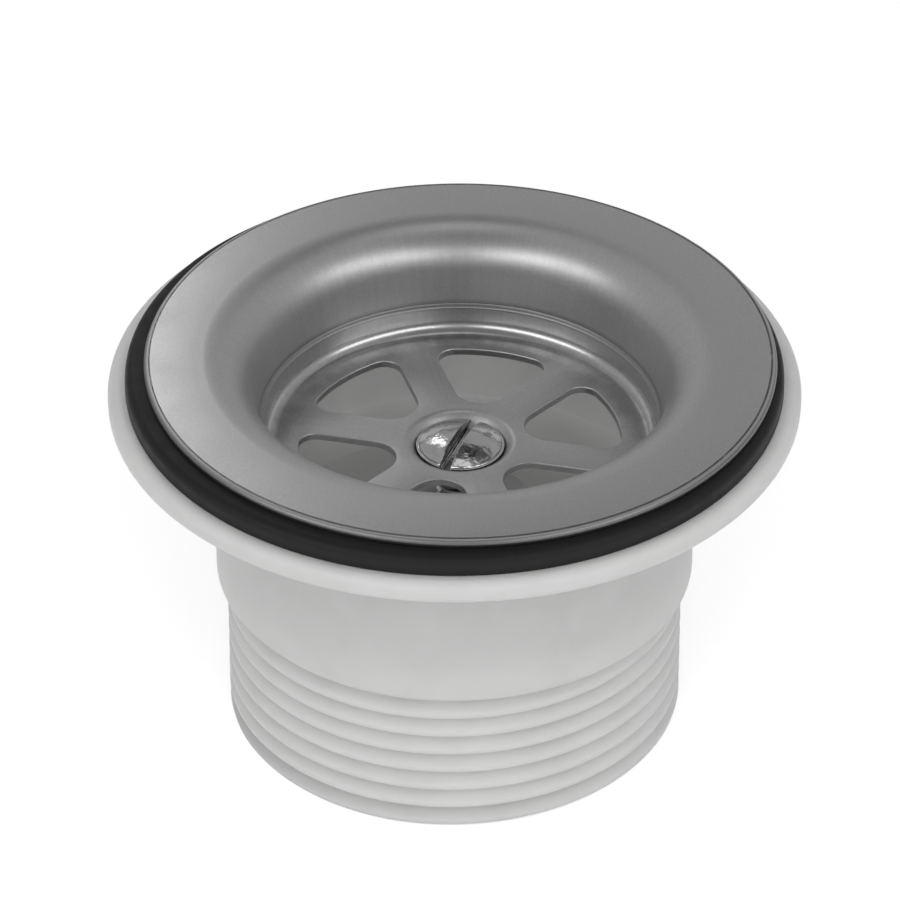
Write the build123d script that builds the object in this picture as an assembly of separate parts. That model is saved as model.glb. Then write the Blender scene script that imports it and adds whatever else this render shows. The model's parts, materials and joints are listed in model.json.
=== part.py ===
"""Sink drain: a pressed steel strainer cup, clamped by one screw to a threaded plastic tail.

Millimetres, +Z up. The origin is the centre of the tail's lower end, on the tail's axis.
"""

from build123d import *

import os
from math import ceil, cos, pi, radians, sin, tan

# Pipe thread of the tail: G 1 1/2, eleven turns to the inch
THREAD_DIAMETER = 47.8
THREAD_PITCH = 2.309
THREAD_DEPTH = 1.48
THREAD_CREST = 0.45
THREAD_FLANK_ANGLE = 27.5
THREAD_LENGTH = 17.5
THREAD_TURN = -33.3
TAIL_WALL = 2.0
TAIL_END_BEVEL = 0.5

# Barrel and flange of the tail body
BARREL_STEP = 1.1
BARREL_WALL = 1.4
BARREL_LENGTH = 20.2
BARREL_EDGE_ROUND = 0.3
SHOULDER_RISE = 1.0
FLANGE_THICKNESS = 2.5
FLANGE_MARGIN = 1.85
FLANGE_ROUND = 1.0
FLANGE_FILLET = 1.2
MOUTH_BEVEL = 1.0

# Spider inside the tail body: ribs, and a boss with a pocket for the nut
RIB_COUNT = 4
RIB_THICKNESS = 2.0
RIB_HEIGHT = 5.0
BOSS_HEIGHT = 10.5
BOSS_WALL = 1.5
BOSS_ROOF = 3.0
NUT_FLOAT = 0.9

# Gasket, which lies on the body's flange
GASKET_THICKNESS = 2.25
GASKET_MARGIN = 1.3
GASKET_TOP_ROUND = 1.0
GASKET_FOOT_ROUND = 0.3
GASKET_CLEARANCE = 0.5
GASKET_SHIFT = 0.4

# Strainer cup, pressed from one sheet
SHEET = 0.8
CUP_PLAY = 0.7
CUP_SHIFT = 0.6
CUP_DEPTH = 11.09
LIP_RADIUS = 5.0
CROWN_WIDTH = 5.5
CROWN_ANGLE = 5.0
CROWN_RADIUS = 48.0
RIM_ROUND = 0.5
WALL_TAPER = 1.3
SEAT_LIFT = 2.8
SEAT_RISE = 0.3
SEAT_WIDTH = 0.35
SEAT_FOLD = 0.15
SEAT_ROUND = 0.85
FOOT_TAPER = 0.1
FLOOR_ROUND = 1.3
DIMPLE_MARGIN = 0.8
DIMPLE_ROUND = 1.2
HOLE_CLEARANCE = 0.4

# Six petal-shaped openings in the cup's floor
PETAL_COUNT = 6
PETAL_TURN = 17.0
PETAL_REACH = 16.8
PETAL_TIP_ROUND = 2.9
PETAL_CORNER_ROUND = 1.8
WEB_WIDTH = 4.2

# Centre screw, M5 with a raised countersunk head and one slot
SCREW_DIAMETER = 5.0
SCREW_LENGTH = 25.0
SCREW_TIP_BEVEL = 0.6
HEAD_DIAMETER = 9.2
HEAD_RIM = 0.25
HEAD_RAISE = 1.1
HEAD_GAP = 0.1
SLOT_WIDTH = 1.2
SLOT_DEPTH = 1.9
SLOT_TURN = 69.0

# Square nut, held against turning by the boss
NUT_WIDTH = 8.0
NUT_THICKNESS = 2.7
NUT_RUNNING = 0.05

# Radii that follow from the thread outwards to the rims
crest_radius = THREAD_DIAMETER / 2
root_radius = crest_radius - THREAD_DEPTH
tail_bore = root_radius - TAIL_WALL
barrel_radius = crest_radius + BARREL_STEP
barrel_bore = barrel_radius - BARREL_WALL
wall_radius = barrel_bore - CUP_PLAY - SHEET
lip_start = wall_radius + LIP_RADIUS
crown_radius = lip_start + CROWN_WIDTH / 2
rim_radius = lip_start + CROWN_WIDTH
gasket_radius = rim_radius + GASKET_MARGIN
gasket_bore = lip_start + CUP_SHIFT + GASKET_CLEARANCE
flange_radius = gasket_radius + FLANGE_MARGIN
head_radius = HEAD_DIAMETER / 2
shank_radius = SCREW_DIAMETER / 2
dimple_radius = head_radius + DIMPLE_MARGIN
hole_radius = shank_radius + HOLE_CLEARANCE

# Heights that follow from the tail's end upwards
shoulder_z = THREAD_LENGTH + SHOULDER_RISE
flange_z = THREAD_LENGTH + BARREL_LENGTH
seat_z = flange_z + FLANGE_THICKNESS
gasket_top = seat_z + GASKET_THICKNESS
rim_z = gasket_top + SHEET * cos(radians(CROWN_ANGLE))
cup_top = rim_z + (rim_radius - crown_radius) * tan(radians(CROWN_ANGLE))
floor_z = cup_top - CUP_DEPTH
spider_z = shoulder_z - RIB_HEIGHT
boss_top = spider_z + BOSS_HEIGHT
nut_top = boss_top - BOSS_ROOF
head_z = floor_z - DIMPLE_MARGIN + HEAD_GAP

ON_FLOOR = (Align.CENTER, Align.CENTER, Align.MIN)


def turned(*outline):
    """A solid of revolution about Z from the edges of its half section, given as (radius, height)."""
    return revolve(Plane.XZ * make_face(list(outline)), axis=Axis.Z)


def off_centre(part):
    """The cup, the screw and the nut sit to one side together, within the play that they have."""
    return Pos(CUP_SHIFT, 0, 0) * part


def groove_turn():
    """One turn of the groove between two crests, with its flanks run on straight out of the tail's surface."""
    slope = tan(radians(THREAD_FLANK_ANGLE))
    outside = THREAD_CREST / 2
    half_mouth = (THREAD_PITCH - THREAD_CREST) / 2
    path = Helix(THREAD_PITCH, THREAD_PITCH, crest_radius)
    upper = [
        (outside, half_mouth + outside * slope),
        (-THREAD_DEPTH, half_mouth - THREAD_DEPTH * slope),
    ]
    lower = [(x, -y) for x, y in reversed(upper)]
    section = Plane(path @ 0, x_dir=(1, 0, 0), z_dir=path % 0) * Polygon(*upper, *lower, align=None)
    return Rot(0, 0, THREAD_TURN) * sweep(section, path=path, is_frenet=True)


def threaded_tail():
    """A rod bevelled at its end, with the groove cut into it turn by turn from one end to the other."""
    rod = Cylinder(crest_radius, THREAD_LENGTH, align=ON_FLOOR)
    rod = chamfer(rod.edges().sort_by(Axis.Z)[0], TAIL_END_BEVEL)
    turn = groove_turn()
    last = ceil(THREAD_LENGTH / THREAD_PITCH)
    return rod - [Pos(0, 0, number * THREAD_PITCH) * turn for number in range(-1, last + 1)]


def barrel_and_flange():
    """The smooth barrel above the thread, and the round-edged flange at its top."""
    outline = FilletPolyline(
        (0, THREAD_LENGTH),
        (barrel_radius, THREAD_LENGTH),
        (barrel_radius, flange_z),
        (flange_radius, flange_z),
        (flange_radius, seat_z),
        (0, seat_z),
        radius=[BARREL_EDGE_ROUND, FLANGE_FILLET, FLANGE_ROUND, FLANGE_ROUND],
    )
    return turned(*outline.edges(), Line((0, seat_z), (0, THREAD_LENGTH)))


def waterway():
    """The hollow through the body: narrow in the tail, wide in the barrel, bevelled at the mouth."""
    below = -TAIL_WALL
    wide_z = shoulder_z + barrel_bore - tail_bore
    return turned(
        Polyline(
            (0, below),
            (tail_bore, below),
            (tail_bore, shoulder_z),
            (barrel_bore, wide_z),
            (barrel_bore, seat_z - MOUTH_BEVEL),
            (barrel_bore + MOUTH_BEVEL, seat_z),
            (0, seat_z),
            close=True,
        )
    )


def spider():
    """Ribs that carry the central boss, whose pocket is open below and keeps the nut from turning."""
    pocket = NUT_WIDTH + 2 * NUT_FLOAT
    boss_radius = pocket / 2 / cos(pi / 4) + BOSS_WALL
    boss = Pos(0, 0, spider_z) * Cylinder(boss_radius, BOSS_HEIGHT, align=ON_FLOOR)
    rib = Pos(0, 0, spider_z) * Box(
        tail_bore + TAIL_WALL / 2, RIB_THICKNESS, RIB_HEIGHT, align=(Align.MIN, Align.CENTER, Align.MIN)
    )
    for turn in range(RIB_COUNT):
        boss += Rot(0, 0, turn * 360 / RIB_COUNT) * rib
    boss -= Pos(0, 0, spider_z) * Box(pocket, pocket, BOSS_HEIGHT - BOSS_ROOF, align=ON_FLOOR)
    return boss - Pos(0, 0, spider_z) * Cylinder(shank_radius + NUT_FLOAT, BOSS_HEIGHT, align=ON_FLOOR)


def tail_body():
    """The white moulding: threaded tail, barrel, flange and spider in one piece."""
    return threaded_tail() + barrel_and_flange() - waterway() + spider()


def gasket():
    """A flat rubber ring, round at its upper edge and a little forward of the tail's axis."""
    outline = FilletPolyline(
        (gasket_bore, seat_z),
        (gasket_radius, seat_z),
        (gasket_radius, gasket_top),
        (gasket_bore, gasket_top),
        radius=[GASKET_FOOT_ROUND, GASKET_TOP_ROUND],
    )
    ring = turned(*outline.edges(), Line((gasket_bore, gasket_top), (gasket_bore, seat_z)))
    return Pos(0, -GASKET_SHIFT, 0) * ring


def cup_section():
    """The sheet's half section: crowned flange, lip, wall, plug seat, floor and dimple for the screw."""
    seat_outer = wall_radius - WALL_TAPER
    seat_inner = seat_outer - SEAT_WIDTH
    upper_face = FilletPolyline(
        (rim_radius, rim_z),
        (crown_radius, cup_top),
        (wall_radius, cup_top),
        (seat_outer, floor_z + SEAT_LIFT + SEAT_RISE),
        (seat_inner, floor_z + SEAT_LIFT),
        (seat_inner - FOOT_TAPER, floor_z),
        (dimple_radius, floor_z),
        (hole_radius, floor_z - dimple_radius + hole_radius),
        radius=[CROWN_RADIUS, LIP_RADIUS, SEAT_FOLD, SEAT_ROUND, FLOOR_ROUND, DIMPLE_ROUND],
    )
    return make_face(offset(upper_face, SHEET, side=Side.LEFT, closed=True).edges())


def petal():
    """One opening: straight sides along the webs, a round inner end and an outer edge about the axis."""
    half_angle = radians(180 / PETAL_COUNT)
    apex = WEB_WIDTH / 2 / sin(half_angle)
    far = 2 * PETAL_REACH
    side = far * tan(half_angle)
    wedge = Polygon((apex, 0), (apex + far, -side), (apex + far, side), align=None)
    outline = wedge & Circle(PETAL_REACH)
    tip = outline.vertices().sort_by(Axis.X)[0]
    outline = fillet(tip, PETAL_TIP_ROUND)
    corners = outline.vertices().sort_by(Axis.X)[-2:]
    return fillet(corners, PETAL_CORNER_ROUND)


def strainer_cup():
    """Flange, cup and strainer floor, pressed and pierced from one steel sheet."""
    cup = revolve(Plane.XZ * cup_section(), axis=Axis.Z)
    rings = cup.edges().filter_by(lambda edge: edge.is_closed).sort_by(SortBy.RADIUS)
    cup = fillet(rings[-1], RIM_ROUND)
    opening = Pos(0, 0, floor_z + SHEET) * extrude(petal(), -3 * SHEET)
    for number in range(PETAL_COUNT):
        cup -= Rot(0, 0, PETAL_TURN + number * 360 / PETAL_COUNT) * opening
    return off_centre(cup)


def centre_screw():
    """The clamp screw: its cone lies in the cup's dimple, and its shank reaches through the nut."""
    tip_z = head_z + HEAD_RIM - SCREW_LENGTH
    rim_top = head_z + HEAD_RIM
    dome_radius = (head_radius**2 + HEAD_RAISE**2) / (2 * HEAD_RAISE)
    dome_top = rim_top + HEAD_RAISE
    side = Polyline(
        (0, dome_top),
        (0, tip_z),
        (shank_radius - SCREW_TIP_BEVEL, tip_z),
        (shank_radius, tip_z + SCREW_TIP_BEVEL),
        (shank_radius, head_z - head_radius + shank_radius),
        (head_radius, head_z),
        (head_radius, rim_top),
    )
    dome = RadiusArc((head_radius, rim_top), (0, dome_top), -dome_radius)
    screw = turned(*side.edges(), dome)
    slot = Pos(0, 0, dome_top - SLOT_DEPTH) * Box(HEAD_DIAMETER, SLOT_WIDTH, SLOT_DEPTH, align=ON_FLOOR)
    return off_centre(screw - Rot(0, 0, SLOT_TURN) * slot)


def square_nut():
    """A square nut under the roof of the boss, with its hole a running fit on the screw."""
    block = Pos(0, 0, nut_top - NUT_THICKNESS) * Box(NUT_WIDTH, NUT_WIDTH, NUT_THICKNESS, align=ON_FLOOR)
    hole = Pos(0, 0, nut_top - NUT_THICKNESS) * Cylinder(
        shank_radius + NUT_RUNNING, NUT_THICKNESS, align=ON_FLOOR
    )
    return off_centre(block - hole)


PIECES = {
    "tail_body": tail_body,
    "gasket": gasket,
    "strainer_cup": strainer_cup,
    "centre_screw": centre_screw,
    "square_nut": square_nut,
}

os.makedirs("parts", exist_ok=True)
for name, make in PIECES.items():
    export_step(make(), f"parts/{name}.step")
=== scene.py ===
"""Dresses the sink drain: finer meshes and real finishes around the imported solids, and a plain studio."""

import json
import math

import bmesh
import bpy
import numpy as np
from mathutils import Matrix, Vector


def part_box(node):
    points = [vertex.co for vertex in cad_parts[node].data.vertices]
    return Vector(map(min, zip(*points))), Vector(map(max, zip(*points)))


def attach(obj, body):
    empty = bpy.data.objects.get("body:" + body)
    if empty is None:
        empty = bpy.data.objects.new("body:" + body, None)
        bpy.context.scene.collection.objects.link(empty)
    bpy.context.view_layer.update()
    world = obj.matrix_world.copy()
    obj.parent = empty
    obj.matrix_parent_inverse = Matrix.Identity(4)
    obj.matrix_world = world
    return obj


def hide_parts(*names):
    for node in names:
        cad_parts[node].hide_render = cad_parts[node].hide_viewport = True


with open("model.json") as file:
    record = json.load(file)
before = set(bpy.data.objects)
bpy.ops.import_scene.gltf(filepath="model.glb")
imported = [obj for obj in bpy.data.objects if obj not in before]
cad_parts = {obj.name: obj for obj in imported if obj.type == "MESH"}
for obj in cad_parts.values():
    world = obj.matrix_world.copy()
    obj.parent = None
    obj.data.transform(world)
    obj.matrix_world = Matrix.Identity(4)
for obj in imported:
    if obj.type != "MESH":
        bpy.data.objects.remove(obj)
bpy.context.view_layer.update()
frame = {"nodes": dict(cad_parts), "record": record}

bl_info = {
    "name": "Sink drain",
    "version": (1, 0, 0),
    "blender": (4, 5, 0),
    "location": "View3D > Sidebar > Drain",
    "description": "Builds a sink drain with a pressed strainer cup, a gasket and a threaded plastic tail",
    "category": "Object",
}

MM = 0.001
TAIL_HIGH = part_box("tail_body")[1]
GASKET_LOW, GASKET_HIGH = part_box("gasket")
CUP_LOW, CUP_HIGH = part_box("strainer_cup")
SCREW_LOW, SCREW_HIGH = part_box("centre_screw")
NUT_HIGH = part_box("square_nut")[1]
THREAD = next(m["dims"] for m in frame["record"]["mounts"] if m["name"] == "tail_thread")

# The cup, the screw and the nut share one axis, a little to the side of the tail's.
CUP_AXIS = (CUP_LOW.x + CUP_HIGH.x) / 2
RIM_RADIUS = (CUP_HIGH.x - CUP_LOW.x) / 2
HEAD_RADIUS = (SCREW_HIGH.x - SCREW_LOW.x) / 2

# Outlines are drawn with an arc step of this many degrees, and flats get a row this close to each round.
ARC_STEP = 7.5
HOLD = 0.2 * MM
# Points this close become one, and corners that nobody sees get a small round.
WELD = 0.5e-6
SMALL_ROUND = 0.1 * MM
# Half of the angle at which the dimple's cone falls. It says how far the round at the cone's edge reaches.
HALF_FALL = math.radians(22.5)

# The kinds of nodes that the trees use most.
MATH = "ShaderNodeMath"
VECTOR = "ShaderNodeVectorMath"
RANGE = "ShaderNodeMapRange"
NOISE = "ShaderNodeTexNoise"
BUMP = "ShaderNodeBump"
# Nearly all of a noise lies in the first span. The second one gives a pattern more contrast.
NOISE_SPAN = (0.3, 0.7)
NARROW_SPAN = (0.35, 0.65)


def linear(hex_colour):
    """An sRGB hex colour as linear red, green and blue, and an alpha of 1."""
    shares = [int(hex_colour[i : i + 2], 16) / 255 for i in (1, 3, 5)]
    return (*[s / 12.92 if s <= 0.04045 else ((s + 0.055) / 1.055) ** 2.4 for s in shares], 1.0)


def length(name, description, millimetres):
    """A size property, written in millimetres and kept in metres."""
    return bpy.props.FloatProperty(
        name=name, description=description, default=millimetres * MM, min=0.0, precision=5, unit="LENGTH"
    )


def rotation(name, description, degrees):
    """An angle property, written in degrees and kept in radians."""
    return bpy.props.FloatProperty(
        name=name, description=description, default=math.radians(degrees), unit="ROTATION"
    )


def colour(name, description, hex_colour):
    """A colour property, written as an sRGB hex value and kept linear."""
    return bpy.props.FloatVectorProperty(
        name=name,
        description=description,
        default=linear(hex_colour),
        size=4,
        min=0.0,
        max=1.0,
        subtype="COLOR",
    )


def power(name, description, watts):
    """A lamp's power."""
    return bpy.props.FloatProperty(name=name, description=description, default=watts, min=0.0, unit="POWER")


class TailSizes(bpy.types.PropertyGroup):
    """Sizes of the white moulding."""

    pitch: length("Thread pitch", "Height that one turn of the pipe thread climbs", 2.309)
    depth: length("Thread depth", "From the thread's crest to its root", 1.48)
    crest: length("Thread crest", "Width of the thread's crest", 0.45)
    flank: length("Thread flank", "Height of one flank of the thread", 0.77)
    end_bevel: length("End bevel", "Bevel on the tail's lower end", 0.5)
    wall: length("Tail wall", "Plastic between the thread's root and the bore", 2.0)
    barrel_step: length("Barrel step", "How far the barrel stands out past the thread", 1.1)
    barrel_wall: length("Barrel wall", "Plastic of the barrel", 1.4)
    shoulder_rise: length("Shoulder rise", "Start of the inner shoulder above the barrel's lower end", 1.0)
    flange: length("Flange thickness", "Plastic of the flange", 2.5)
    flange_round: length("Flange round", "Round on the flange's two edges", 1.0)
    flange_fillet: length("Flange fillet", "Round between the barrel and the flange", 1.2)
    edge_round: length("Edge round", "Rounds on the edges of the barrel, the bore and the spider", 0.3)
    mouth_bevel: length("Mouth bevel", "Bevel at the mouth of the barrel", 1.0)
    rib: length("Rib", "Thickness of a rib of the spider", 2.0)
    rib_height: length("Rib height", "Height of a rib of the spider", 5.0)
    rib_root: length("Rib root", "How far a rib goes into the tail's wall", 0.5)
    boss_height: length("Boss height", "Height of the boss in the middle of the spider", 10.5)
    boss_roof: length("Boss roof", "Plastic above the nut's pocket", 3.0)
    boss_wall: length("Boss wall", "Plastic at the corners of the nut's pocket", 1.5)
    nut_float: length("Nut float", "Play of the nut and the screw in the boss", 0.9)
    ribs: bpy.props.IntProperty(name="Ribs", description="Ribs of the spider", default=4, min=2)
    turn: rotation("Thread turn", "Where the crest meets the tail's end", 146.7)


class CupSizes(bpy.types.PropertyGroup):
    """Sizes of the steel pressing."""

    sheet: length("Sheet", "Thickness of the steel", 0.8)
    depth: length("Depth", "From the flange's top to the floor", 11.09)
    crown: length("Crown width", "Width of the crowned flange", 5.5)
    crown_radius: length("Crown radius", "Round of the crown, from the lip to the rim", 48.0)
    crown_angle: rotation("Crown angle", "Slope of the flange at its rim", 5.0)
    lip: length("Lip radius", "Round between the flange and the wall", 5.0)
    rim: length("Rim round", "Round on the flange's upper edge", 0.5)
    taper: length("Wall taper", "How far the wall leans in", 1.3)
    seat_lift: length("Seat lift", "Height of the plug's seat above the floor", 2.8)
    seat_rise: length("Seat rise", "Height of the plug's seat", 0.3)
    seat_width: length("Seat width", "Width of the plug's seat", 0.35)
    seat_fold: length("Seat fold", "Rounds of the steel at the plug's seat", 0.15)
    foot: length("Foot taper", "How far the wall leans in below the seat", 0.1)
    floor_round: length("Floor round", "Round between the wall and the floor", 1.3)
    dimple_margin: length("Dimple margin", "From the screw's head to the dimple's edge", 0.8)
    dimple_round: length("Dimple round", "Round at the dimple's edge", 1.2)
    hole: length("Hole", "Radius of the screw's hole", 2.9)
    reach: length("Petal reach", "Outer radius of the petal openings", 16.8)
    tip: length("Petal tip", "Round at a petal's inner end", 2.9)
    corner: length("Petal corner", "Rounds at a petal's outer corners", 1.8)
    web: length("Web", "Steel between two petals", 4.2)
    pierced: length("Pierced edge", "Round that piercing leaves on a petal's upper edge", 0.16)
    broken: length("Broken edge", "Bevel on a petal's lower edge", 0.05)
    petals: bpy.props.IntProperty(name="Petals", description="Petal openings in the floor", default=6, min=3)
    turn: rotation("Petal turn", "Direction of the first petal", 17.0)


class GasketSizes(bpy.types.PropertyGroup):
    """Sizes of the rubber ring."""

    bore: length("Bore", "Radius of the hole", 28.2)
    top_round: length("Top round", "Round on the upper outer edge", 1.0)
    foot_round: length("Foot round", "Round on the lower outer edge", 0.3)
    bore_round: length("Bore round", "Rounds on the edges of the hole", 0.15)


class ScrewSizes(bpy.types.PropertyGroup):
    """Sizes of the clamp screw."""

    diameter: length("Diameter", "Over the crests of the thread", 5.0)
    pitch: length("Pitch", "Height that one turn of the thread climbs", 0.8)
    depth: length("Thread depth", "From the thread's crest to its root", 0.45)
    crest: length("Thread crest", "Width of the thread's crest", 0.16)
    flank: length("Thread flank", "Height of one flank of the thread", 0.24)
    neck: length("Neck", "Plain shank between the head and the thread", 1.5)
    tip_bevel: length("Tip bevel", "Bevel on the screw's tip", 0.6)
    gap: length("Head gap", "Height that the head stands above its seat in the dimple", 0.1)
    rim: length("Head rim", "Height of the head's plain rim", 0.25)
    rim_round: length("Head edge", "Rounds on the edges of the head's rim", 0.06)
    rise: length("Head raise", "Height of the head's dome", 1.1)
    slot: length("Slot width", "Width of the slot", 1.2)
    slot_depth: length("Slot depth", "Depth of the slot below the dome", 1.9)
    slot_round: length("Slot edge", "Round on the slot's edges", 0.08)
    turn: rotation("Slot turn", "Direction of the slot", 69.0)


class DrainColours(bpy.types.PropertyGroup):
    """Colours of the finishes, and of the studio."""

    polypropylene: colour("Polypropylene", "White plastic of the tail", "#ececeb")
    rubber: colour("Rubber", "Black rubber of the gasket", "#0e0e0e")
    satin_steel: colour("Satin steel", "Pressed and brushed stainless steel", "#c4c4c4")
    bright_steel: colour("Bright steel", "Polished stainless steel of the screw", "#c6c6c6")
    brass: colour("Brass", "Plain brass of the nut", "#b9974f")
    floor: colour("Floor", "Pale studio floor", "#f2f2f2")
    room: colour("Room", "Grey of the studio round the object", "#b0b0b0")


class StageSettings(bpy.types.PropertyGroup):
    """Where the camera stands and how strong the lamps are."""

    camera: bpy.props.FloatVectorProperty(
        name="Camera",
        description="Place of the camera",
        default=(-0.47 * MM, -521.13 * MM, 402.02 * MM),
        unit="LENGTH",
    )
    pitch: rotation("Pitch", "How far the camera looks down", 35.4355)
    lens: bpy.props.FloatProperty(
        name="Lens", description="Focal length in millimetres", default=246.27, min=1.0
    )
    left: power("Left lamp", "Power of the left softbox", 1.85)
    right: power("Right lamp", "Power of the right softbox", 1.65)
    rim: power("Rim lamp", "Power of the small softbox behind the rim", 0.0005)
    front: power("Front lamp", "Power of the lamp above the camera", 3.4)


def connect(tree, node, inputs):
    """Links or sets a node's inputs, given by name or in their own order. A node links its first output."""
    for name, value in inputs.items() if isinstance(inputs, dict) else enumerate(inputs):
        if isinstance(value, bpy.types.Node):
            value = value.outputs[0]
        if isinstance(value, bpy.types.NodeSocket):
            tree.links.new(value, node.inputs[name])
        else:
            node.inputs[name].default_value = value


def add(tree, kind, inputs=(), **settings):
    """Adds a node with its settings and its inputs.

    In its own order, a map range node takes a value, the range it comes from and the range it goes to.
    """
    made = tree.nodes.new(kind)
    for name, value in settings.items():
        setattr(made, name, value)
    connect(tree, made, inputs)
    return made


def material(name):
    """A new node material, with its tree, its shader and its Object coordinates in millimetres."""
    made = bpy.data.materials.new(name)
    made.use_nodes = True
    tree = made.node_tree
    shader = tree.nodes["Principled BSDF"]
    place = add(tree, "ShaderNodeTexCoord").outputs["Object"]
    millimetres = add(tree, VECTOR, (place, (1 / MM,) * 3), operation="MULTIPLY")
    return made, tree, shader, millimetres


def white_polypropylene(colours):
    """Injection-moulded polypropylene: milky, softly glossy, with an orange-peel skin and flow clouds."""
    made, tree, shader, place = material("moulded polypropylene")
    # Flow clouds some 7 mm across, and a skin of 0.5 mm, coarser than the real one so that it shows.
    clouds = add(tree, NOISE, {"Vector": place, "Scale": 1 / 7.0, "Detail": 3.0})
    skin = add(tree, NOISE, {"Vector": place, "Scale": 1 / 0.5, "Detail": 2.0})
    shade = add(tree, RANGE, (clouds, *NOISE_SPAN, 0.95, 1.03))
    tint = add(tree, VECTOR, {0: colours.polypropylene[:3], "Scale": shade}, operation="SCALE")
    rough = add(tree, RANGE, (clouds, *NOISE_SPAN, 0.4, 0.5))
    bump = add(tree, BUMP, {"Height": skin, "Strength": 0.05, "Distance": 0.1 * MM})
    connect(tree, shader, {"IOR": 1.49, "Base Color": tint, "Roughness": rough, "Normal": bump})
    # Light goes some 4 mm into the plastic, evenly in all colours.
    milk = {"Subsurface Weight": 1.0, "Subsurface Radius": (1.0, 1.0, 1.0), "Subsurface Scale": 4.0 * MM}
    connect(tree, shader, milk)
    return made


def black_rubber(colours):
    """Moulded rubber: nearly black, dull, with a fine bloom that lightens it in patches."""
    made, tree, shader, place = material("moulded rubber")
    # Bloom in patches of 3 mm, and a skin of 0.3 mm.
    bloom = add(tree, NOISE, {"Vector": place, "Scale": 1 / 3.0, "Detail": 4.0})
    skin = add(tree, NOISE, {"Vector": place, "Scale": 1 / 0.3, "Detail": 2.0})
    shade = add(tree, RANGE, (bloom, *NOISE_SPAN, 0.8, 1.25))
    tint = add(tree, VECTOR, {0: colours.rubber[:3], "Scale": shade}, operation="SCALE")
    rough = add(tree, RANGE, (bloom, *NOISE_SPAN, 0.5, 0.62))
    bump = add(tree, BUMP, {"Height": skin, "Strength": 0.08, "Distance": 0.1 * MM})
    connect(tree, shader, {"IOR": 1.52, "Specular IOR Level": 0.35})
    connect(tree, shader, {"Base Color": tint, "Roughness": rough, "Normal": bump})
    return made


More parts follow.
